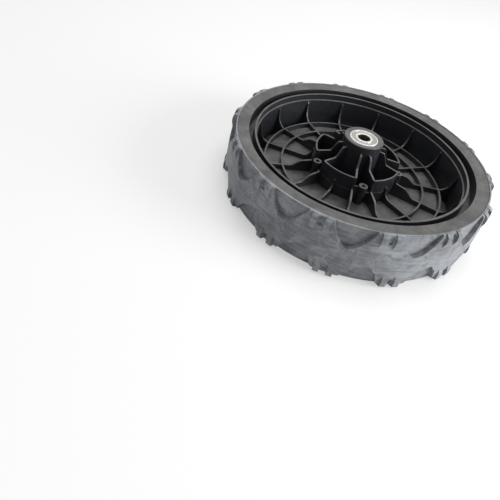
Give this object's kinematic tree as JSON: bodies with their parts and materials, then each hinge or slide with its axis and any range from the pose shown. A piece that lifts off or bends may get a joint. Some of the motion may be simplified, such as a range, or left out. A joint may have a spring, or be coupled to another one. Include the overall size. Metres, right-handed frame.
{
  "type": "drive wheel",
  "caption": "Garden machine drive wheel: grey moulded tyre with notched shoulders, one-piece ribbed plastic centre, snap-in cover and ball bearings.",
  "frame": {"origin": "on the wheel's axis, in the plane of the tyre's covered side, which the wheel lies on", "axes": "+Z along the axle bore, from the covered side towards the ribbed side; +X and +Y across the wheel"},
  "size_m": [0.2562, 0.2564, 0.0658],
  "materials": {
    "tyre": "dusty matt",
    "centre_plastic": "satin moulded",
    "cover_plastic": "satin moulded",
    "bearing_steel": "ground",
    "shield_steel": "dull pressed"
  },
  "bodies": {
    "wheel": {"tyre": "tyre", "wheel_centre": "centre_plastic", "outer_cover": "cover_plastic", "low_outer_ring": "bearing_steel", "low_shield_upper": "shield_steel", "low_shield_lower": "shield_steel", "high_outer_ring": "bearing_steel", "high_shield_upper": "shield_steel", "high_shield_lower": "shield_steel"},
    "axle_core": {"low_inner_ring": "bearing_steel", "high_inner_ring": "bearing_steel", "spacer_sleeve": "bearing_steel"},
    "low_ball_set": {"low_balls": "bearing_steel", "low_cage_upper": "bearing_steel", "low_cage_lower": "bearing_steel", "low_cage_rivets": "bearing_steel"},
    "high_ball_set": {"high_balls": "bearing_steel", "high_cage_upper": "bearing_steel", "high_cage_lower": "bearing_steel", "high_cage_rivets": "bearing_steel"}
  },
  "joints": [
    {"name": "axle_turn", "type": "hinge", "parent": "wheel", "child": "axle_core", "pos_m": [0, 0, 0.0395], "axis": [0, 0, 1], "continuous": true},
    {"name": "low_balls_turn", "type": "hinge", "parent": "wheel", "child": "low_ball_set", "pos_m": [0, 0, 0.0172], "axis": [0, 0, 1], "continuous": true},
    {"name": "high_balls_turn", "type": "hinge", "parent": "wheel", "child": "high_ball_set", "pos_m": [0, 0, 0.0618], "axis": [0, 0, 1], "continuous": true}
  ],
  "couplings": [
    {"joint": "low_balls_turn", "follows": "axle_turn", "ratio": 0.381},
    {"joint": "high_balls_turn", "follows": "axle_turn", "ratio": 0.381}
  ]
}
